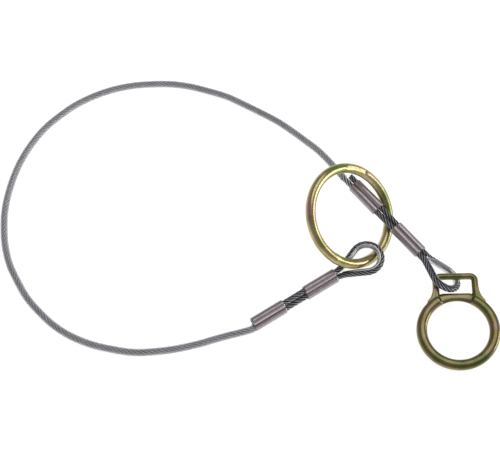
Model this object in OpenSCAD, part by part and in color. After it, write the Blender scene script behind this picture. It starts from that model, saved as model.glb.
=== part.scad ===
// Wire rope choker sling: one vinyl-coated wire rope with a swaged thimble eye at each end.
// The choke eye holds a large round ring, the link eye holds a small forged ring with a slot.
// The sling lies on a flat surface, z = 0, with its link end passed through the large ring.
// All sizes are in millimetres.

/* [Rope] */
// Diameter of the bare wire rope
rope_d = 5.6; // [5:0.1:5.6]
// Outside diameter of the vinyl jacket
jacket_d = 7; // [6.4:0.1:7]
// Length of bare rope between the link ferrule and the jacket
bare_length = 12; // [8:1:16]
// Length of the dead end that stands out of the link ferrule
tail_length = 9; // [3:1:11]

/* [Ferrules] */
// Length of one swaged ferrule
ferrule_length = 34.5; // [30:0.5:35]
// Diameter of each of a ferrule's two barrels
barrel_d = 8.4; // [7.4:0.1:8.5]
// Gap between the two ferrules of an eye
ferrule_gap = 24; // [20:0.5:25]

/* [Thimbles] */
// Thickness of the thimble's sheet
thimble_wall = 1.3; // [0.8:0.1:1.3]
// Radius of the rope's centre line round the crown of an eye
crown_r = 14.5; // [14.3:0.1:14.7]

/* [Choke ring] */
// Inside diameter of the large ring
choke_ring_bore = 82.5; // [82:0.5:83]
// Diameter of the large ring's round bar
choke_bar_d = 9.5; // [8:0.1:9.5]

/* [Link ring] */
// Diameter of the hole in the small ring
link_hole_d = 57; // [55:0.5:57]
// Width of the small ring's round band
link_band = 10; // [9:0.5:10]
// Thickness of the small ring's round band
link_thickness = 8; // [7:0.5:8]
// Width of the slot that the link eye holds
slot_width = 30; // [29:0.5:31]
// Height of the slot
slot_height = 13.8; // [13.8:0.1:14.5]
// Diameter of the round bar along the top and sides of the slot
slot_bar_d = 6.4; // [5:0.1:6.4]

/* [Hidden] */
$fn = 64;
eps = 0.05;

// Stations along the straight axis of an eye, from the outer face of its outer ferrule
inner_start = ferrule_length + ferrule_gap;
eye_start = inner_start + ferrule_length;
// Half the spacing of the two ropes that lie side by side in a ferrule
pair_y = 2.9;
// Length over which the ropes turn from the roll of the inner ferrule into the plane of the eye
roll_blend = 10;
// Radius of the bend where each rope leaves the inner ferrule for the side of the eye
spread_r = 25;

// How far a thimble's lips reach past the rope's centre line (negative: they stop short of it), and
// how far its legs reach into its crown
lip = -1.4;
leg_lap = 0.6;

// Where each eye's axis starts, how it is turned, the rolls of its two ferrules, how the eye is
// turned against the axis, and how far the middle of its crown is from the inner ferrule
choke_at = [-112.4, -53.6, 6.45];
choke_turn = [0, -1, 33];
choke_outer_roll = 50;
choke_inner_roll = 45;
choke_eye_turn = [4, -7, -5];
choke_crown_x = 34;
link_at = [-13.7, 88.3, 22.7];
link_turn = [0, 4.9, -49.3];
link_outer_roll = 20;
link_inner_roll = -5;
link_eye_turn = [-31, 1, 0];
link_crown_x = 33.1;

// The large ring leans on the rope: its centre line's middle, lean and the heading of the lean
choke_ring_r = (choke_ring_bore + choke_bar_d) / 2;
choke_ring_lean = 37;
choke_ring_heading = -29;
choke_ring_at = [-20, 48.1, choke_bar_d / 2 + choke_ring_r * sin(choke_ring_lean)];
// Blank flat on the large ring, where a maker would stamp it
flat_angle = 118;
flat_length = 22;
flat_depth = 0.5;

// The small ring: the middle of its hole, and how it is turned
link_ring_at = [77.1, -59.9, 8.3];
link_ring_turn = [4.9, -4.6, -1];
link_hole_r = link_hole_d / 2;
link_outer_r = link_hole_r + link_band;
edge_r = 2.5;
web_height = 7.9;
web_thickness = 4;
shoulder_thickness = 6.4;
slot_y0 = link_hole_r + web_height;
bar_y = slot_y0 + slot_height + slot_bar_d / 2;
bar_x = slot_width / 2 + slot_bar_d / 2;
corner_r = 4.4;

// Middle stretch of the free rope, from the link end round to the choke end
route_middle = [
    [-35, 112, 22.5], [-47, 129, 19.5], [-60, 144, 15.5], [-73, 159, 10.5], [-87, 173, 6.5],
    [-103, 185, 4], [-121, 196, 3.5], [-139, 206, 3.5], [-158, 213, 3.5], [-178, 219, 3.5],
    [-198, 222, 3.5], [-218, 222, 3.5], [-238, 220, 3.5], [-258, 215, 3.5], [-277, 207, 3.5],
    [-295, 196, 3.5], [-310, 183, 3.5], [-324, 168, 3.5], [-335, 151, 3.5], [-344, 132, 3.5],
    [-350, 113, 3.5], [-354, 93, 3.5], [-356, 72, 3.5], [-355, 52, 3.5], [-352, 32, 3.5],
    [-346, 12, 3.5], [-337, -6, 3.5], [-326, -24, 3.5], [-313, -39, 3.5], [-298, -53, 3.5],
    [-281, -64, 3.5], [-262, -72, 3.5], [-242, -77, 3.5], [-222, -80, 3.5], [-201, -79, 3.5],
    [-181, -76, 3.5], [-161, -71, 3.5], [-142, -65, 3.5]];

// ---- Turning points the way translate() and rotate() turn solids ----
function turned_x(p, a) = [p.x, p.y * cos(a) - p.z * sin(a), p.y * sin(a) + p.z * cos(a)];
function turned_y(p, a) = [p.x * cos(a) + p.z * sin(a), p.y, p.z * cos(a) - p.x * sin(a)];
function turned_z(p, a) = [p.x * cos(a) - p.y * sin(a), p.x * sin(a) + p.y * cos(a), p.z];
function turned(p, a) = turned_z(turned_y(turned_x(p, a.x), a.y), a.z);
function eased(t) = let(u = max(0, min(1, t))) u * u * (3 - 2 * u);

// ---- Outline of an eye in its own plane, from the ferrule (x = 0) to the crown ----
// Angle of the eye's straight sides to its axis, and the length of those sides
function side_angle(crown_x) = let(reach = sqrt(pow(crown_x, 2) + pow(spread_r + pair_y, 2)))
    atan2(crown_x, spread_r + pair_y) - acos((crown_r + spread_r) / reach);
function side_length(crown_x) = let(a = side_angle(crown_x))
    (crown_x - (crown_r + spread_r) * sin(a)) / cos(a);
function side_start(crown_x) = let(a = side_angle(crown_x))
    [spread_r * sin(a), pair_y + spread_r * (1 - cos(a))];
function half_eye(crown_x) = let(a = side_angle(crown_x), s = side_start(crown_x), n = side_length(crown_x))
    concat(
        [for (i = [1:4]) [spread_r * sin(a * i / 4), pair_y + spread_r * (1 - cos(a * i / 4))]],
        [for (i = [1:3]) s + n * i / 3 * [cos(a), sin(a)]],
        [for (i = [1:8]) let(b = (90 + a) * (1 - i / 8)) [crown_x + crown_r * cos(b), crown_r * sin(b)]]);

// ---- Centre line of the rope round an eye: live side in, round the thimble, dead side out ----
function pair_point(at, turn, x, y, roll) = at + turned([x, y * cos(roll), y * sin(roll)], turn);
function eye_point(at, turn, roll, eye_turn, p) = let(w = eased(p.x / roll_blend))
    at + turned((1 - w) * [eye_start + p.x, p.y * cos(roll), p.y * sin(roll)]
        + w * ([eye_start, 0, 0] + turned([p.x, p.y, 0], eye_turn)), turn);
function side_line(at, turn, outer_roll, inner_roll, eye_turn, crown_x, side, first_x) = concat(
    first_x < 0 ? [pair_point(at, turn, first_x, side * pair_y, outer_roll)] : [],
    [for (i = [0:3]) pair_point(at, turn, ferrule_length * i / 3, side * pair_y, outer_roll)],
    [for (i = [1:4]) pair_point(at, turn, ferrule_length + ferrule_gap * i / 5, side * pair_y,
        outer_roll + (inner_roll - outer_roll) * eased(i / 5))],
    [for (i = [0:3]) pair_point(at, turn, inner_start + ferrule_length * i / 3, side * pair_y, inner_roll)],
    [for (p = half_eye(crown_x)) eye_point(at, turn, inner_roll, eye_turn, [p.x, side * p.y])]);
function eye_line(at, turn, outer_roll, inner_roll, eye_turn, crown_x, tail) = let(
    live = side_line(at, turn, outer_roll, inner_roll, eye_turn, crown_x, -1, 0),
    dead = side_line(at, turn, outer_roll, inner_roll, eye_turn, crown_x, 1, -tail))
    concat(live, [for (i = [len(dead) - 2:-1:0]) dead[i]]);

// ---- The free rope between the two outer ferrules ----
function link_exit(x) = pair_point(link_at, link_turn, -x, -pair_y, link_outer_roll);
function choke_exit(x) = pair_point(choke_at, choke_turn, -x, -pair_y, choke_outer_roll);
jacket_route = concat([link_exit(bare_length)], route_middle, [choke_exit(5), choke_exit(0)]);
rope_route = concat([link_exit(0)], jacket_route);

// ---- A round tube along a line of points, closed with a flat face at each end ----
function ring_points(line, i, r, sides) = let(
    t = line[min(i + 1, len(line) - 1)] - line[max(i - 1, 0)],
    along = t / norm(t),
    across = cross([0, 0, 1], along) / norm(cross([0, 0, 1], along)),
    up = cross(along, across))
    [for (k = [0:sides - 1]) line[i] + r * (across * cos(360 * k / sides) + up * sin(360 * k / sides))];
function tube_points(line, d, sides) = [for (i = [0:len(line) - 1]) each ring_points(line, i, d / 2, sides)];
function tube_walls(count, sides) = [for (i = [0:count - 2], k = [0:sides - 1])
    let(a = i * sides, m = (k + 1) % sides)
        each [[a + k, a + sides + k, a + sides + m], [a + k, a + sides + m, a + m]]];
module tube(line, d, sides) {
    caps = [[for (k = [0:sides - 1]) k], [for (k = [sides - 1:-1:0]) (len(line) - 1) * sides + k]];
    polyhedron(points = tube_points(line, d, sides), faces = concat(tube_walls(len(line), sides), caps));
}
// The same tube with a round hole along it: the inner walls face inwards and a flat ring closes each end
module pipe(line, outer_d, inner_d, sides) {
    inner = len(line) * sides;
    last = inner - sides;
    walls = tube_walls(len(line), sides);
    inner_walls = [for (f = walls) [f[2] + inner, f[1] + inner, f[0] + inner]];
    ends = [for (k = [0:sides - 1]) let(m = (k + 1) % sides) each [
        [k, m, inner + m], [k, inner + m, inner + k],
        [last + m, last + k, last + inner + k], [last + m, last + inner + k, last + inner + m]]];
    polyhedron(points = concat(tube_points(line, outer_d, sides), tube_points(line, inner_d, sides)),
        faces = concat(walls, inner_walls, ends));
}

module at_choke(x) translate(choke_at) rotate(choke_turn) translate([x, 0, 0]) children();
module at_link(x) translate(link_at) rotate(link_turn) translate([x, 0, 0]) children();

// Bare galvanised rope of the free run: it is the jacket's core
module wire_rope() color([0.62, 0.63, 0.65]) tube(rope_route, rope_d, 10);

// Clear vinyl jacket, extruded over the rope
module vinyl_jacket() color([0.72, 0.73, 0.75]) pipe(jacket_route, jacket_d, rope_d + 2 * eps, 10);

// Bare rope through both ferrules and round the thimble, one piece at each end of the sling
module choke_eye_rope() color([0.5, 0.51, 0.54])
    tube(eye_line(choke_at, choke_turn, choke_outer_roll, choke_inner_roll, choke_eye_turn,
        choke_crown_x, 0), rope_d, 12);
module link_eye_rope() color([0.5, 0.51, 0.54])
    tube(eye_line(link_at, link_turn, link_outer_roll, link_inner_roll, link_eye_turn,
        link_crown_x, tail_length), rope_d, 12);

// Section of a thimble's channel: the rope's centre is at the origin, the hole of the eye at +x
module channel_section(extra = 0) intersection() {
    difference() {
        circle(r = rope_d / 2 + eps + extra + thimble_wall);
        circle(r = rope_d / 2 + eps + extra);
    }
    translate([-lip - extra, -barrel_d]) square([barrel_d, 2 * barrel_d]);
}
// Pressed steel thimble: a channel bent round the crown, with a straight leg on each side to the
// ferrule; the legs are a hair wider than the crown and lap into it, so that the channel is one piece
module thimble(crown_x) {
    a = side_angle(crown_x);
    translate([crown_x, 0, 0]) rotate([0, 0, -90 - a]) rotate_extrude(angle = 180 + 2 * a)
        translate([crown_r, 0]) mirror([1, 0]) channel_section();
    for (side = [-1, 1]) mirror([0, side < 0 ? 1 : 0, 0])
        translate([side_start(crown_x).x, side_start(crown_x).y, 0]) rotate([0, 0, a])
            rotate([90, 0, 90]) linear_extrude(side_length(crown_x) + leg_lap)
                mirror([1, 0]) channel_section(eps);
}
module choke_thimble() color([0.8, 0.82, 0.84])
    at_choke(eye_start) rotate(choke_eye_turn) thimble(choke_crown_x);
module link_thimble() color([0.8, 0.82, 0.84])
    at_link(eye_start) rotate(link_eye_turn) thimble(link_crown_x);

// Swaged double-barrel ferrule, with a bore for each of the two ropes
module ferrule(roll) rotate([roll, 0, 0]) difference() {
    for (side = [-1, 1]) translate([0, side * pair_y, 0]) rotate([0, 90, 0])
        cylinder(d = barrel_d, h = ferrule_length);
    for (side = [-1, 1]) translate([-1, side * pair_y, 0]) rotate([0, 90, 0])
        cylinder(d = rope_d, h = ferrule_length + 2);
}
module choke_outer_ferrule() color([0.56, 0.5, 0.52]) at_choke(0) ferrule(choke_outer_roll);
module choke_inner_ferrule() color([0.56, 0.5, 0.52]) at_choke(inner_start) ferrule(choke_inner_roll);
module link_inner_ferrule() color([0.6, 0.54, 0.56]) at_link(inner_start) ferrule(link_inner_roll);
module link_outer_ferrule() color([0.6, 0.54, 0.56]) at_link(0) ferrule(link_outer_roll);

// Large ring of round bar, welded and zinc plated, with one blank flat on its upper face
module choke_ring() color([0.72, 0.64, 0.38]) translate(choke_ring_at)
    rotate([0, 0, choke_ring_heading]) rotate([0, choke_ring_lean, 0]) difference() {
        rotate_extrude($fn = 128) translate([choke_ring_r, 0]) circle(d = choke_bar_d);
        rotate([0, 0, flat_angle]) translate([choke_ring_r, 0, choke_bar_d - flat_depth])
            cube([choke_bar_d, flat_length, choke_bar_d], center = true);
    }

// Round bar of the slot's frame: top, two corners and two sides
module slot_frame() {
    translate([-bar_x + corner_r, bar_y, 0]) rotate([0, 90, 0])
        cylinder(d = slot_bar_d, h = 2 * (bar_x - corner_r));
    for (side = [0, 1]) mirror([side, 0, 0]) {
        translate([bar_x - corner_r, bar_y - corner_r, 0]) rotate_extrude(angle = 90)
            translate([corner_r, 0]) circle(d = slot_bar_d);
        translate([bar_x, link_hole_r, 0]) rotate([-90, 0, 0])
            cylinder(d = slot_bar_d, h = bar_y - corner_r - link_hole_r);
    }
}
// Round band with rounded edges and a straight land round the hole
module link_round() rotate_extrude($fn = 128) translate([link_hole_r, 0]) {
    translate([0, edge_r - link_thickness / 2]) square([link_band, link_thickness - 2 * edge_r]);
    translate([edge_r, -link_thickness / 2]) square([link_band - 2 * edge_r, link_thickness]);
    for (x = [edge_r, link_band - edge_r], side = [-1, 1])
        translate([x, side * (link_thickness / 2 - edge_r)]) circle(r = edge_r);
}
// Shoulders that run from the slot's sides into the round band
module shoulder() linear_extrude(shoulder_thickness, center = true) difference() {
    polygon([[bar_x, link_hole_r - 6], [33, 18], [bar_x + slot_bar_d / 2, slot_y0 + 4],
        [bar_x, slot_y0 + 4]]);
    circle(r = link_hole_r + 2);
    translate([bar_x + slot_bar_d / 2 + 18, slot_y0 + 5]) circle(r = 18);
}
// Small forged ring: round band, shoulders, recessed web and the slot's round frame
module link_ring() color([0.68, 0.62, 0.34]) translate(link_ring_at) rotate(link_ring_turn) {
    difference() {
        link_round();
        translate([-slot_width / 2, slot_y0, -link_thickness])
            cube([slot_width, slot_height, 2 * link_thickness]);
        for (side = [-1, 1]) translate([0, slot_y0, side * (web_thickness + link_thickness) / 2])
            cube([slot_width, 2 * web_height, link_thickness], center = true);
    }
    slot_frame();
    for (side = [0, 1]) mirror([side, 0, 0]) shoulder();
    linear_extrude(web_thickness, center = true) difference() {
        translate([-bar_x, link_hole_r - 4]) square([2 * bar_x, web_height + 4]);
        circle(r = link_hole_r + 2);
    }
}

wire_rope();
vinyl_jacket();
choke_eye_rope();
link_eye_rope();
choke_thimble();
link_thimble();
choke_outer_ferrule();
choke_inner_ferrule();
link_inner_ferrule();
link_outer_ferrule();
choke_ring();
link_ring();
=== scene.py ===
# A vinyl-coated wire rope choker sling: a thimble eye swaged on each end, a large round ring in one
# eye and a small forged ring in the other. Sizes are in millimetres and meshes are made in metres.
from math import acos, atan2, cos, pi, radians, sin, sqrt, tau

import bpy
import numpy as np
from mathutils import Euler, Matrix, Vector


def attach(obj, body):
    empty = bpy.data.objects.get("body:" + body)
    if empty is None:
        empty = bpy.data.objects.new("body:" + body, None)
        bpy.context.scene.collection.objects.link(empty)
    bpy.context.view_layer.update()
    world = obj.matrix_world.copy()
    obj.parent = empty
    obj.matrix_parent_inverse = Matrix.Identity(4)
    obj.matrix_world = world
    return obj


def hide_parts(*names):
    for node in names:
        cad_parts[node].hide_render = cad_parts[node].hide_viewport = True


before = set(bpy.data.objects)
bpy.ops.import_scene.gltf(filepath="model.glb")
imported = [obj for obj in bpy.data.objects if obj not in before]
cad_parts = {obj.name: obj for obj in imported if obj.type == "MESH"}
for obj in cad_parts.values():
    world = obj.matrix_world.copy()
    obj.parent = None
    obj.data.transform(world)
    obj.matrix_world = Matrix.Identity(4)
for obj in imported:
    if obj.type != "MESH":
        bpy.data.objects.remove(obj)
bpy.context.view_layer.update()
mm = 0.001

# ---- Camera ----
# It looks down on the sling from in front, over the middle of the loop and its rings.
camera_rise = radians(61)
camera_reach = 1155 * mm
camera_aim = Vector((-115.5, 56, 0)) * mm
camera = bpy.data.objects.new("camera", bpy.data.cameras.new("camera"))
bpy.context.collection.objects.link(camera)
camera.data.lens = 85
camera.data.clip_end = 20  # metres
camera.location = camera_aim + camera_reach * Vector((0, -cos(camera_rise), sin(camera_rise)))
camera.rotation_euler = (pi / 2 - camera_rise, 0, 0)
bpy.context.scene.camera = camera

# ---- Wire rope, the free run ----
# One length of galvanised 7x19 wire rope joins both eyes: six strands laid right-handed round a
# seventh. Between the two outer ferrules it lies loose in one open loop.
rope_d = 5.6
rope_lay = 28
strand_r = rope_d / 6
strand_swell = 1.03
strand_sides = 12
core_sides = 8
wires_round_strand = 9
wire_twist = 0.13
rope_step = 2
span_points = 12
pair_y = 2.9
bare_length = 12
link_end = {"at": (-13.7, 88.3, 22.7), "turn": (0, 4.9, -49.3), "outer_roll": 20, "inner_roll": -5,
            "eye_turn": (-31, 1, 0), "crown_x": 33.1, "tail": 9}
choke_end = {"at": (-112.4, -53.6, 6.45), "turn": (0, -1, 33), "outer_roll": 50, "inner_roll": 45,
             "eye_turn": (4, -7, -5), "crown_x": 34, "tail": 0}
route_middle = [
    (-35, 112, 22.5), (-47, 129, 19.5), (-60, 144, 15.5), (-73, 159, 10.5), (-87, 173, 6.5),
    (-103, 185, 4), (-121, 196, 3.5), (-139, 206, 3.5), (-158, 213, 3.5), (-178, 219, 3.5),
    (-198, 222, 3.5), (-218, 222, 3.5), (-238, 220, 3.5), (-258, 215, 3.5), (-277, 207, 3.5),
    (-295, 196, 3.5), (-310, 183, 3.5), (-324, 168, 3.5), (-335, 151, 3.5), (-344, 132, 3.5),
    (-350, 113, 3.5), (-354, 93, 3.5), (-356, 72, 3.5), (-355, 52, 3.5), (-352, 32, 3.5),
    (-346, 12, 3.5), (-337, -6, 3.5), (-326, -24, 3.5), (-313, -39, 3.5), (-298, -53, 3.5),
    (-281, -64, 3.5), (-262, -72, 3.5), (-242, -77, 3.5), (-222, -80, 3.5), (-201, -79, 3.5),
    (-181, -76, 3.5), (-161, -71, 3.5), (-142, -65, 3.5)]


def placed(at, turn, points):
    """Points of a piece's own frame, turned and moved to where the piece lies."""
    matrix = np.array(Euler([radians(a) for a in turn]).to_matrix())
    return np.array(at, float) + np.asarray(points, float) @ matrix.T


def pair_point(end, x, side, roll):
    """Centre of one of the two ropes of an end, at a distance along its straight axis."""
    across = side * pair_y
    return placed(end["at"], end["turn"], (x, across * cos(radians(roll)), across * sin(radians(roll))))


def evenly(points, step):
    """The line through the points, cut again into equal steps."""
    points = np.asarray(points, float)
    along = np.concatenate([[0], np.cumsum(np.linalg.norm(np.diff(points, axis=0), axis=1))])
    stations = np.linspace(0, along[-1], round(along[-1] / step) + 1)
    return np.stack([np.interp(stations, along, points[:, k]) for k in range(3)], axis=1)


def smooth_line(points, step):
    """An evenly stepped line along one smooth curve through the points."""
    p = np.asarray(points, float)
    p = np.vstack([2 * p[0] - p[1], p, 2 * p[-1] - p[-2]])
    t = np.linspace(0, 1, span_points, endpoint=False)[:, None]
    spans = [0.5 * (2 * b + (c - a) * t + (2 * a - 5 * b + 4 * c - d) * t**2 + (3 * b - a - 3 * c + d) * t**3)
             for a, b, c, d in zip(p, p[1:], p[2:], p[3:])]
    return evenly(np.vstack([*spans, p[-2:-1]]), step)


def unit(vectors):
    """The vectors at length 1."""
    return vectors / np.linalg.norm(vectors, axis=-1, keepdims=True)


def line_frames(line):
    """At each point of a line, its direction and two directions square to it that turn least."""
    along = unit(np.gradient(line, axis=0))
    up = np.zeros_like(line)
    last = np.array([0.0, 0.0, 1.0])
    for i, direction in enumerate(along):
        last = unit(last - direction * (last @ direction))
        up[i] = last
    return along, up, np.cross(along, up)


def loft(loops, capped=True, closed=False):
    """Points, faces and lay coordinates of a skin over loops of points, each loop in the same order."""
    loops = np.asarray(loops, float)
    rows, sides = loops.shape[:2]
    faces, lay = [], []
    for i in range(rows if closed else rows - 1):
        j = (i + 1) % rows
        for k in range(sides):
            m = (k + 1) % sides
            faces.append((i * sides + k, i * sides + m, j * sides + m, j * sides + k))
            lay += [(k / sides, i), ((k + 1) / sides, i), ((k + 1) / sides, i + 1), (k / sides, i + 1)]
    if capped and not closed:
        faces += [tuple(range(sides - 1, -1, -1)), tuple(range((rows - 1) * sides, rows * sides))]
        lay += [(0, 0)] * (2 * sides)
    return loops.reshape(-1, 3), faces, lay


def tube(line, radius, sides, capped=True):
    """A round tube along a line."""
    _, up, across = line_frames(line)
    angles = np.arange(sides) * tau / sides
    circle = np.cos(angles)[None, :, None] * up[:, None] + np.sin(angles)[None, :, None] * across[:, None]
    return loft(line[:, None] + radius * circle, capped)


def piece(name, skins, body, finish, sharp=40):
    """One object of the given skins, in millimetres, with its body, slot and finish."""
    points, faces, lay = [], [], []
    for skin_points, skin_faces, skin_lay in skins:
        first = len(points)
        points += [tuple(p * mm) for p in skin_points]
        faces += [tuple(first + i for i in face) for face in skin_faces]
        lay += skin_lay
    mesh = bpy.data.meshes.new(name)
    mesh.from_pydata(points, [], faces)
    mesh.uv_layers.new(name="lay").data.foreach_set("uv", np.array(lay, float).ravel())
    mesh.polygons.foreach_set("use_smooth", [True] * len(mesh.polygons))
    mesh.set_sharp_from_angle(angle=radians(sharp))
    mesh.materials.append(finish)
    made = bpy.data.objects.new(name, mesh)
    bpy.context.collection.objects.link(made)
    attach(made, body)
    return made


def strands(line):
    """Seven strands along a rope's centre line, each on its own helix round the core. Round each
    strand the lay coordinate starts from the side that faces out of the rope."""
    along = np.concatenate([[0], np.cumsum(np.linalg.norm(np.diff(line, axis=0), axis=1))])
    _, up, across = line_frames(line)
    skins = [tube(line, strand_r, core_sides)]
    angles = np.arange(strand_sides) * tau / strand_sides
    around, aside = np.cos(angles)[None, :, None], np.sin(angles)[None, :, None]
    for k in range(6):
        turn = tau * (along / rope_lay + k / 6)
        outward = np.cos(turn)[:, None] * up + np.sin(turn)[:, None] * across
        middle = line + 2 * strand_r * outward
        way = unit(np.gradient(middle, axis=0))
        outward = unit(outward - way * np.sum(outward * way, axis=1, keepdims=True))
        sideways = np.cross(way, outward)
        circle = around * outward[:, None] + aside * sideways[:, None]
        skins.append(loft(middle[:, None] + strand_r * strand_swell * circle))
    return skins


class Value:
    """A node's output, so that shader maths reads as arithmetic."""

    def __init__(self, finish, socket):
        self.finish, self.socket = finish, socket

    def maths(self, operation, a, b=0.0):
        return self.finish.node("ShaderNodeMath", {"operation": operation}, {0: a, 1: b})

    def __add__(self, other):
        return self.maths("ADD", self, other)

    def __sub__(self, other):
        return self.maths("SUBTRACT", self, other)

    def __rsub__(self, other):
        return self.maths("SUBTRACT", other, self)

    def __mul__(self, other):
        return self.maths("MULTIPLY", self, other)

    __radd__ = __add__
    __rmul__ = __mul__


class Finish:
    """A surface finish: a material whose nodes are added by expressions."""

    def __init__(self, name, **settings):
        self.material = bpy.data.materials.new(name)
        self.material.use_nodes = True
        self.tree = self.material.node_tree
        self.shader = self.tree.nodes["Principled BSDF"]
        for socket, value in settings.items():
            self.feed(self.shader.inputs[socket.replace("_", " ")], value)
        self.place = self.node("ShaderNodeTexCoord", output="Object")

    def feed(self, socket, value):
        if isinstance(value, Value):
            self.tree.links.new(value.socket, socket)
        else:
            socket.default_value = value

    def node(self, kind, settings=None, inputs=None, output=0):
        made = self.tree.nodes.new(kind)
        for name, value in (settings or {}).items():
            if name == "stops":
                for i, (position, colour) in enumerate(value):
                    stop = made.color_ramp.elements[i] if i < 2 else made.color_ramp.elements.new(position)
                    stop.position, stop.color = position, (*colour, 1)
            else:
                setattr(made, name, value)
        for name, value in (inputs or {}).items():
            self.feed(made.inputs[name], value)
        return Value(self, made.outputs[output])

    def noise(self, size, detail=3, place=None):
        """Soft noise whose patches are about so many millimetres across."""
        return self.node("ShaderNodeTexNoise", {}, {"Vector": place or self.place, "Scale": 1 / (size * mm),
                                                    "Detail": detail})

    def mixed(self, share, a, b):
        """Two colours mixed by a share from 0 to 1."""
        return self.node("ShaderNodeMix", {"data_type": "RGBA"}, {0: share, 6: a, 7: b}, 2)

    def spread(self, value, low, high, to_low=0.0, to_high=1.0):
        """A value stretched from one range to another and held inside it."""
        return self.node("ShaderNodeMapRange", {}, {0: value, 1: low, 2: high, 3: to_low, 4: to_high})

    def coloured(self, colour):
        self.feed(self.shader.inputs["Base Color"], colour)

    def roughened(self, value):
        self.feed(self.shader.inputs["Roughness"], value)

    def bumped(self, height, depth):
        """Relief of the given height pattern, so many millimetres deep."""
        bump = self.node("ShaderNodeBump", {}, {"Height": height, "Distance": depth * mm, "Strength": 1.0})
        self.feed(self.shader.inputs["Normal"], bump)


def shaded(red, green, blue, shade):
    """A colour made darker or lighter by one factor."""
    return red * shade, green * shade, blue * shade, 1


def strand_finish(name, shade):
    """Drawn and galvanised wires laid into a strand. Painted shade darkens the grooves between the wires
    and, near to black, the side of each strand that faces into the rope.
    """
    finish = Finish(name, Metallic=0.92)
    lay = finish.node("ShaderNodeUVMap", {"uv_map": "lay"})
    round_strand = finish.node("ShaderNodeSeparateXYZ", {}, {0: lay})
    along_strand = Value(finish, round_strand.socket.node.outputs["Y"])
    wire = (round_strand * wires_round_strand + along_strand * wire_twist) * pi
    ridge = wire.maths("ABSOLUTE", wire.maths("SINE", wire))
    inward_shade = 0.5 - wire.maths("ABSOLUTE", round_strand - 0.5)
    patches = finish.noise(6)
    # Painted shade: the colour runs from light on each wire's crown to dark in the groove between wires.
    colour = finish.mixed(finish.spread(ridge, 0.0, 0.6), shaded(0.13, 0.13, 0.14, shade),
                          shaded(0.58, 0.58, 0.6, shade))
    colour = finish.mixed(finish.spread(patches, 0.35, 0.75, 0.0, 0.45), colour,
                          shaded(0.36, 0.33, 0.37, shade))
    # Painted shade: the side of each strand that faces into the rope is painted near black.
    finish.coloured(finish.mixed(finish.spread(inward_shade, 0.05, 0.19), colour, (0.03, 0.03, 0.035, 1)))
    finish.roughened(finish.spread(patches, 0.3, 0.7, 0.3, 0.46))
    finish.bumped(ridge, 0.12)
    return finish.material


# Painted light: the strands under the vinyl use the strand colours made half as light again.
lightened_strand_metal = strand_finish("galvanised_strand", 1.5)
link_exit = [pair_point(link_end, -x, -1, link_end["outer_roll"]) for x in (0, bare_length)]
choke_exit = [pair_point(choke_end, -x, -1, choke_end["outer_roll"]) for x in (5, 0)]
rope_line = smooth_line([*link_exit, *route_middle, *choke_exit], rope_step)
wire_rope = piece("wire_rope_strands", strands(rope_line), "sling", lightened_strand_metal)
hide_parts("wire_rope")

# ---- Vinyl jacket ----
# Clear vinyl, extruded tight over the rope to 7 mm across. It starts a little way from the link
# ferrule, where the rope is stripped bare, and ends against the choke ferrule.
jacket_d = 7
jacket_wall = 0.6
jacket_step = 3
jacket_sides = 28


def vinyl_finish():
    """Clear vinyl gone a little cloudy, with faint scuffs from use. Painted shade darkens its edges,
    where the surface turns edge-on to the view, and makes them less clear.
    """
    finish = Finish("clear_vinyl", IOR=1.5, Specular_IOR_Level=0.6)
    cloud = finish.noise(14)
    scuffs = finish.noise(1.6, 4)
    # Painted shade: where the surface turns edge-on to the view the colour darkens towards grey-black and the
    # vinyl turns less clear.
    shaded_rim = finish.node("ShaderNodeLayerWeight", {}, {"Blend": 0.35}, 1)
    clear = finish.mixed(cloud, (0.66, 0.67, 0.69, 1), (0.82, 0.82, 0.83, 1))
    finish.coloured(finish.mixed(shaded_rim, clear, (0.28, 0.28, 0.3, 1)))
    finish.roughened(finish.spread(scuffs, 0.35, 0.75, 0.16, 0.34))
    finish.feed(finish.shader.inputs["Alpha"], finish.spread(cloud, 0.3, 0.7, 0.14, 0.24) + shaded_rim * 0.6)
    finish.bumped(finish.noise(4), 0.05)
    return finish.material


jacket_line = smooth_line([link_exit[1], *route_middle, *choke_exit], jacket_step)
jacket_skin = tube(jacket_line, jacket_d / 2, jacket_sides, capped=False)
jacket = piece("vinyl_jacket_tube", [jacket_skin], "sling", vinyl_finish())
wall = jacket.modifiers.new("wall", "SOLIDIFY")
wall.thickness = jacket_wall * mm
wall.offset = -1
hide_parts("vinyl_jacket")

# ---- Eye ropes ----
# The two ends of the same rope. Each runs through both of its ferrules, round a thimble and back
# through them. The link end's dead end stands out of its outer ferrule, cut off square.
ferrule_length = 34.5
ferrule_gap = 24
inner_start = ferrule_length + ferrule_gap
eye_start = inner_start + ferrule_length
roll_blend = 10
spread_r = 25
crown_r = 14.5
bend_steps = 6
side_steps = 8
crown_steps = 20
straight_step = 1.5
eye_step = 1.6


def eased(t):
    """0 to 1 with a soft start and stop."""
    t = min(max(t, 0), 1)
    return t * t * (3 - 2 * t)


def half_outline(crown_x):
    """Half of an eye's outline in its own plane, as a bend, a straight side and half the crown."""
    reach = sqrt(crown_x**2 + (spread_r + pair_y)**2)
    angle = atan2(crown_x, spread_r + pair_y) - acos((crown_r + spread_r) / reach)
    side = (crown_x - (crown_r + spread_r) * sin(angle)) / cos(angle)
    start = np.array([spread_r * sin(angle), pair_y + spread_r * (1 - cos(angle))])
    bend_turns = [angle * i / bend_steps for i in range(1, bend_steps + 1)]
    bend = [(spread_r * sin(t), pair_y + spread_r * (1 - cos(t))) for t in bend_turns]
    straight = [tuple(start + side * i / side_steps * np.array([cos(angle), sin(angle)]))
                for i in range(1, side_steps + 1)]
    turns = [(pi / 2 + angle) * (1 - i / crown_steps) for i in range(1, crown_steps + 1)]
    crown = [(crown_x + crown_r * cos(t), crown_r * sin(t)) for t in turns]
    return bend, straight, crown


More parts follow.
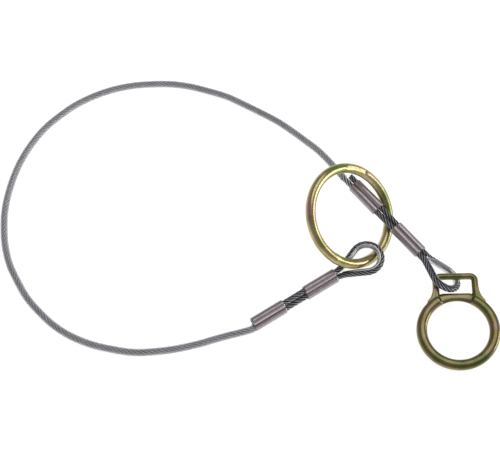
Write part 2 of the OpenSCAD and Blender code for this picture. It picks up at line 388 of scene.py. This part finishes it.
def eye_point(end, x, y):
    """A point of an eye's outline, led from the inner ferrule's roll into the plane of the eye."""
    share = eased(x / roll_blend)
    roll = radians(end["inner_roll"])
    in_line = np.array([eye_start + x, y * cos(roll), y * sin(roll)])
    in_eye = placed((eye_start, 0, 0), end["eye_turn"], (x, y, 0))
    return placed(end["at"], end["turn"], (1 - share) * in_line + share * in_eye)


def side_line(end, side, first_x):
    """One side of an end: through both ferrules and round to the tip of the crown."""
    outer, inner = end["outer_roll"], end["inner_roll"]
    points = []
    for x in np.arange(first_x, eye_start + 0.1, straight_step):
        roll = outer + (inner - outer) * eased((x - ferrule_length) / ferrule_gap)
        points.append(pair_point(end, x, side, roll))
    bend, straight, crown = half_outline(end["crown_x"])
    return points + [eye_point(end, x, side * y) for x, y in bend + straight + crown]


# Painted shade: the bare eye strands, of the same rope, use the strand colours darkened to 0.68.
darkened_strand_metal = strand_finish("bare_strand", 0.68)
for side_name, end in (("choke", choke_end), ("link", link_end)):
    live = side_line(end, -1, 0)
    dead = side_line(end, 1, -end["tail"])
    line = evenly(live + dead[-2::-1], eye_step)
    eye_rope = piece(side_name + "_eye_strands", strands(line), "sling",
                     darkened_strand_metal)
    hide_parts(side_name + "_eye_rope")

# ---- Thimbles ----
# Each is pressed from zinc plated sheet into a channel that holds the rope, bent round the crown,
# with two legs whose lips narrow to points beside the inner ferrule.
groove_r = 2.9
sheet = 1.2
lip_angle = radians(64)
tip_angle = radians(24)
tip_length = 13
tip_start = 4
tip_sheet_share = 0.45
channel_step = 0.9
channel_points = 17


def thimble_finish():
    """Bright zinc on smooth pressed steel, with faint spangle and rub marks."""
    finish = Finish("thimble_zinc", Metallic=1.0)
    spangle = finish.noise(5)
    rub = finish.noise(0.9, 4)
    finish.coloured(finish.mixed(finish.spread(spangle, 0.35, 0.7), (0.48, 0.48, 0.51, 1),
                                 (0.68, 0.68, 0.7, 1)))
    finish.roughened(finish.spread(rub, 0.3, 0.75, 0.2, 0.38))
    finish.bumped(rub, 0.03)
    return finish.material


def channel(reach, depth):
    """Section of the channel towards the hole (+x): its outside, a round lip, its groove, a lip."""
    turns = np.linspace(-reach, reach, channel_points)
    mid_r, half = groove_r + depth / 2, depth / 2
    outside = [(cos(t) * (groove_r + depth), sin(t) * (groove_r + depth)) for t in turns]
    groove = [(cos(t) * groove_r, sin(t) * groove_r) for t in turns[::-1]]
    lips = []
    for t, way in ((reach, 1), (-reach, -1)):
        middle = np.array([cos(t), sin(t)]) * mid_r
        beyond = np.array([-sin(t), cos(t)]) * way * half
        lips.append([tuple(middle + beyond)])
    return outside + lips[0] + groove + lips[1]


def thimble_skin(end):
    """The channel swept along one leg, round the crown and back along the other leg."""
    bend, straight, crown = half_outline(end["crown_x"])
    half = bend + straight + crown
    outline = np.array([(x, -y, 0) for x, y in half] + [(x, y, 0) for x, y in half[-2::-1]])
    line = evenly(outline, channel_step)
    along = np.concatenate([[0], np.cumsum(np.linalg.norm(np.diff(line, axis=0), axis=1))])
    keep = (along >= tip_start) & (along <= along[-1] - tip_start)
    line, along = line[keep], along[keep]
    directions = unit(np.gradient(line, axis=0))
    inward_shade = np.stack([-directions[:, 1], directions[:, 0], np.zeros(len(line))], axis=1)
    loops = []
    for point, towards_hole, s in zip(line, inward_shade, along):
        from_tip = min(s - along[0], along[-1] - s)
        share = sin(min(from_tip / tip_length, 1) * pi / 2)
        depth = sheet * (tip_sheet_share + (1 - tip_sheet_share) * share)
        section = channel(tip_angle + (lip_angle - tip_angle) * share, depth)
        loops.append([point + a * towards_hole + b * np.array([0, 0, 1]) for a, b in section])
    points, faces, lay = loft(loops)
    in_eye = placed((eye_start, 0, 0), end["eye_turn"], points)
    return placed(end["at"], end["turn"], in_eye), faces, lay


thimble_metal = thimble_finish()
for side_name, end in (("choke", choke_end), ("link", link_end)):
    thimble = piece(side_name + "_thimble_channel", [thimble_skin(end)], "sling",
                    thimble_metal, sharp=60)
    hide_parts(side_name + "_thimble")

# ---- Ferrules ----
# Double-barrel sleeves of zinc plated copper, squeezed on in a swaging press. The dies leave a soft
# waist between the barrels, shallow bands along them and a thin flash line down each side.
barrel_r = 4.2
waist_blend = 0.35
flash_height = 0.05
flash_spread = 0.07
band_depth = 0.03
band_count = 5
end_round = 0.4
barrel_points = 72
sleeve_loops = 61


def ferrule_finish():
    """Mauve-grey plated copper, rosy where the dies rubbed it and faintly streaked. Light and shade are
    painted round each barrel: shade in the waist, a highlight beside it, darker towards the outer side.
    """
    finish = Finish("swaged_ferrule", Metallic=0.9)
    patches = finish.noise(7)
    streaks = finish.noise(1.1, 4)
    lay = finish.node("ShaderNodeSeparateXYZ", {}, {0: finish.node("ShaderNodeUVMap", {"uv_map": "lay"})})
    half_way = lay - 0.5
    from_waist = half_way.maths("ABSOLUTE", half_way.maths("ABSOLUTE", half_way) - 0.25)
    # Painted light and shade round each barrel: near black in the waist, a bright painted highlight just
    # beside it, then darker again towards the barrel's outer side.
    barrel_light_and_shade = finish.node("ShaderNodeValToRGB", {"stops": [
        (0.0, (0.12, 0.095, 0.105)), (0.03, (0.2, 0.16, 0.175)), (0.055, (0.58, 0.5, 0.52)),
        (0.1, (0.48, 0.42, 0.44)), (0.16, (0.43, 0.375, 0.395)), (0.23, (0.36, 0.315, 0.33))]},
        {0: from_waist})
    base = finish.mixed(finish.spread(patches, 0.35, 0.7, 0.0, 0.45), barrel_light_and_shade, (0.3, 0.26, 0.275, 1))
    finish.coloured(finish.mixed(finish.spread(streaks, 0.5, 0.75, 0.0, 0.4), base, (0.6, 0.48, 0.5, 1)))
    finish.roughened(finish.spread(streaks, 0.3, 0.7, 0.26, 0.42))
    finish.bumped(streaks, 0.05)
    return finish.material


def barrel_outline(inset, swell):
    """The outline round both barrels, with the waist blended and the flash lines standing out."""
    outline = []
    for t in np.linspace(0, tau, barrel_points, endpoint=False):
        reach = sqrt(barrel_r**2 - (pair_y * sin(t))**2)
        near, far = pair_y * abs(cos(t)) + reach, -pair_y * abs(cos(t)) + reach
        radius = near + waist_blend * np.log1p(np.exp((far - near) / waist_blend))
        flash = flash_height * np.exp(-((sin(t) / flash_spread)**2))
        radius += flash + swell - inset
        outline.append((radius * cos(t), radius * sin(t)))
    return outline


def ferrule_skin(end, start, roll):
    """A sleeve along the end's axis, from its first face, with rounded ends and pressed bands."""
    loops = []
    for share in np.linspace(0, 1, sleeve_loops):
        from_end = min(share, 1 - share) * ferrule_length
        step_in = end_round * (1 - sqrt(max(0, 1 - (1 - min(from_end / end_round, 1))**2)))
        band = -band_depth * sin(pi * band_count * share)**8
        loops.append([(start + share * ferrule_length, a, b) for a, b in barrel_outline(step_in, band)])
    points, faces, lay = loft(loops)
    turned = placed((0, 0, 0), (roll, 0, 0), points)
    return placed(end["at"], end["turn"], turned), faces, lay


ferrule_metal = ferrule_finish()
for side_name, end in (("choke", choke_end), ("link", link_end)):
    for place_name, start in (("outer", 0), ("inner", inner_start)):
        skin = ferrule_skin(end, start, end[place_name + "_roll"])
        sleeve = piece(f"{side_name}_{place_name}_sleeve", [skin], "sling",
                       ferrule_metal)
        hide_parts(f"{side_name}_{place_name}_ferrule")

# ---- Choke ring ----
# A round bar bent into a ring and butt welded, then plated in yellow zinc. It has one blank flat on
# its upper face, and the weld stands a little proud on the far side.
choke_bar_r = 4.75
choke_ring_r = 46
choke_ring_lean = 37
choke_ring_heading = -29
choke_ring_at = (-20, 48.1, choke_bar_r + choke_ring_r * sin(radians(choke_ring_lean)))
flat_angle = radians(118)
flat_half = radians(13.5)
flat_depth = 0.5
flat_blend = radians(2.5)
weld_angle = radians(-78)
weld_half = radians(2.6)
weld_swell = 0.28
choke_ring_loops = 288
choke_bar_sides = 40


def yellow_zinc_finish(name, shade):
    """Yellow zinc plating: olive gold that drifts into green and pink as its film varies."""
    finish = Finish(name, Metallic=1.0)
    drift = finish.noise(26, 2)
    bloom = finish.noise(17, 2, finish.node("ShaderNodeVectorMath", {"operation": "ADD"},
                                            {0: finish.place, 1: (0.3, 0.1, 0.7)}))
    fine = finish.noise(0.8, 4)
    gold = finish.mixed(finish.spread(drift, 0.35, 0.65), shaded(0.36, 0.29, 0.11, shade),
                        shaded(0.54, 0.46, 0.24, shade))
    green = finish.mixed(finish.spread(bloom, 0.52, 0.68, 0.0, 0.75), gold, shaded(0.19, 0.26, 0.08, shade))
    pink = finish.mixed(finish.spread(bloom, 0.34, 0.47, 0.7, 0.0), green, shaded(0.58, 0.36, 0.3, shade))
    finish.coloured(pink)
    finish.roughened(finish.spread(fine, 0.3, 0.75, 0.2, 0.34))
    finish.bumped(fine, 0.03)
    return finish.material


def choke_ring_skin():
    """The ring's skin: a bar's outline carried round, flattened at one place and swollen at the weld."""
    loops = []
    for turn in np.linspace(0, tau, choke_ring_loops, endpoint=False):
        flat = 1 - eased((abs(turn - flat_angle) - flat_half) / flat_blend)
        from_weld = atan2(sin(turn - weld_angle), cos(turn - weld_angle))
        weld = weld_swell * np.exp(-((from_weld / weld_half)**2))
        loop = []
        for t in np.linspace(0, tau, choke_bar_sides, endpoint=False):
            out, rise = (choke_bar_r + weld) * cos(t), (choke_bar_r + weld) * sin(t)
            rise = min(rise, choke_bar_r - flat_depth * flat)
            loop.append(((choke_ring_r + out) * cos(turn), (choke_ring_r + out) * sin(turn), rise))
        loops.append(loop)
    points, faces, lay = loft(loops, closed=True)
    leaning = placed((0, 0, 0), (0, choke_ring_lean, 0), points)
    return placed(choke_ring_at, (0, 0, choke_ring_heading), leaning), [f[::-1] for f in faces], lay


yellow_zinc = yellow_zinc_finish("yellow_zinc", 1.0)
choke_ring = piece("choke_ring_bar", [choke_ring_skin()], "choke_ring", yellow_zinc)
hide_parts("choke_ring")

# ---- Link ring ----
# A drop forging: a round band with a slotted head. Round bars frame the slot, their roots flare
# into the band, and a thinner web closes the slot's lower side. Its yellow zinc is a darker batch.
link_ring_at = (77.1, -59.9, 8.3)
link_ring_turn = (4.9, -4.6, -1)
hole_r = 28.5
band = 10
band_half = 4
web_half = 2
slot_half = 15
slot_low = 36.4
slot_high = 50.2
bar_r = 3.2
corner_r = 4.4
bar_foot = 26
root_half = 3
root_hollow_at = (39.4, 41.4)
root_hollow_r = 18
root_rim_r = 37
root_inside_r = 31
root_top = (17.5, 41)
web_overlap = 0.5
web_blend = 1.4
band_edge = 0.9
band_loops = 240
band_sides = 36
slot_bar_step = 1
slot_bar_sides = 20
voxel = 0.42
softening = 6
forged_zinc = yellow_zinc_finish("forged_zinc", 0.54)


def band_skin():
    """The band with its rounded section, thinned to the web and cut level under the slot."""
    loops = []
    for turn in np.linspace(0, tau, band_loops, endpoint=False):
        x = (hole_r + band / 2) * cos(turn)
        past_slot = abs(x) - slot_half + web_overlap
        under_slot = 1 - eased(past_slot / web_blend) if sin(turn) > 0 else 0
        half = band_half + (web_half - band_half) * under_slot
        outer = hole_r + band
        if under_slot > 0:
            outer = min(outer, slot_low / sin(turn))
        middle, reach = (hole_r + outer) / 2, (outer - hole_r) / 2
        loop = []
        for t in np.linspace(0, tau, band_sides, endpoint=False):
            out = reach * np.sign(cos(t)) * abs(cos(t))**band_edge
            rise = half * np.sign(sin(t)) * abs(sin(t))**band_edge
            loop.append(((middle + out) * cos(turn), (middle + out) * sin(turn), rise))
        loops.append(loop)
    points, faces, lay = loft(loops, closed=True)
    return points, [f[::-1] for f in faces], lay


def slot_bar_skin():
    """One round bar up one side of the slot, across its top and down the other side."""
    side_x, top_y = slot_half + bar_r, slot_high + bar_r
    corner = [(side_x - corner_r + corner_r * cos(t), top_y - corner_r + corner_r * sin(t), 0)
              for t in np.linspace(0, pi / 2, 9)]
    right = [(side_x, bar_foot, 0), *corner]
    left = [(-x, y, z) for x, y, z in right[::-1]]
    return tube(evenly(right + left, slot_bar_step), bar_r, slot_bar_sides)


def arc(at, radius, first, last, count):
    """Points along a round stretch of an outline, between two angles in degrees."""
    turns = np.radians(np.linspace(first, last, count))
    return [(at[0] + radius * cos(t), at[1] + radius * sin(t)) for t in turns]


def root_skin(side):
    """The flared root of a side bar: a flat block whose outer edge is hollowed."""
    hollow = arc(root_hollow_at, root_hollow_r, 180, 226, 12)
    shaded_rim = arc((0, 0), root_rim_r, 44, 28, 5)
    inside = arc((0, 0), root_inside_r, 30, 58, 6)
    edge = [*hollow, *shaded_rim, *inside, root_top]
    loops = [[(side * x, y, z) for x, y in edge] for z in (-root_half, root_half)]
    points, faces, lay = loft(loops)
    return points, [f[::-1] for f in faces] if side > 0 else faces, lay


def forged(skins):
    """Overlapping skins fused into one skin of even small faces and softened like a forging."""
    rough = piece("rough_forging", skins, "link_ring", forged_zinc)
    fuse = rough.modifiers.new("fuse", "REMESH")
    fuse.mode = "VOXEL"
    fuse.voxel_size = voxel * mm
    blend = rough.modifiers.new("soften", "SMOOTH")
    blend.factor = 0.5
    blend.iterations = softening
    fused = bpy.data.meshes.new_from_object(rough.evaluated_get(bpy.context.evaluated_depsgraph_get()))
    points = np.zeros(len(fused.vertices) * 3)
    fused.vertices.foreach_get("co", points)
    faces = [tuple(polygon.vertices) for polygon in fused.polygons]
    bpy.data.objects.remove(rough)
    return points.reshape(-1, 3) / mm, faces, [(0, 0)] * sum(len(face) for face in faces)


points, faces, lay = forged([band_skin(), slot_bar_skin(), root_skin(1), root_skin(-1)])
link_ring = piece("link_ring_forging", [(placed(link_ring_at, link_ring_turn, points), faces, lay)],
                  "link_ring", forged_zinc, sharp=180)
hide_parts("link_ring")

# ---- Floor and light ----
# A pale matt floor that glows a little, a low soft light at the right, a weaker one above and a
# room that is bright at the sides and dim overhead.
floor_size = 6
floor_drop = 0.2
room_side_glow = 0.62
room_top_glow = 0.28
room_dim_height = 0.7
floor_mesh = bpy.data.meshes.new("floor")
floor_corners = [(x * floor_size, y * floor_size, -floor_drop * mm)
                 for x, y in ((-1, -1), (1, -1), (1, 1), (-1, 1))]
floor_mesh.from_pydata(floor_corners, [], [(0, 1, 2, 3)])
floor = bpy.data.objects.new("floor", floor_mesh)
bpy.context.collection.objects.link(floor)
floor_paint = Finish("floor_paint", Base_Color=(0.5, 0.5, 0.5, 1), Roughness=0.9,
                     Emission_Color=(1, 1, 1, 1), Emission_Strength=0.84)
floor_mesh.materials.append(floor_paint.material)


def soft_light(name, place, size, power):
    """A square soft light aimed at the middle of the sling."""
    light = bpy.data.lights.new(name, "AREA")
    light.size = size
    light.energy = power
    lamp = bpy.data.objects.new(name, light)
    bpy.context.collection.objects.link(lamp)
    lamp.location = place
    lamp.rotation_euler = (camera_aim - Vector(place)).to_track_quat("-Z", "Y").to_euler()


soft_light("key", place=(2.0, -0.1, 0.5), size=0.9, power=13)
soft_light("top", place=(0.4, 0.6, 1.8), size=1.2, power=6)
room = bpy.data.worlds.new("room")
bpy.context.scene.world = room
room.use_nodes = True
room_nodes, room_links = room.node_tree.nodes, room.node_tree.links
room_nodes["Background"].inputs["Color"].default_value = (0.95, 0.96, 1, 1)
direction = room_nodes.new("ShaderNodeTexCoord").outputs["Generated"]
height = room_nodes.new("ShaderNodeSeparateXYZ")
glow = room_nodes.new("ShaderNodeMapRange")
for socket, value in ((1, 0.0), (2, room_dim_height), (3, room_side_glow), (4, room_top_glow)):
    glow.inputs[socket].default_value = value
room_links.new(direction, height.inputs[0])
room_links.new(height.outputs["Z"], glow.inputs[0])
room_links.new(glow.outputs[0], room_nodes["Background"].inputs["Strength"])
bpy.context.scene.view_settings.view_transform = "Standard"
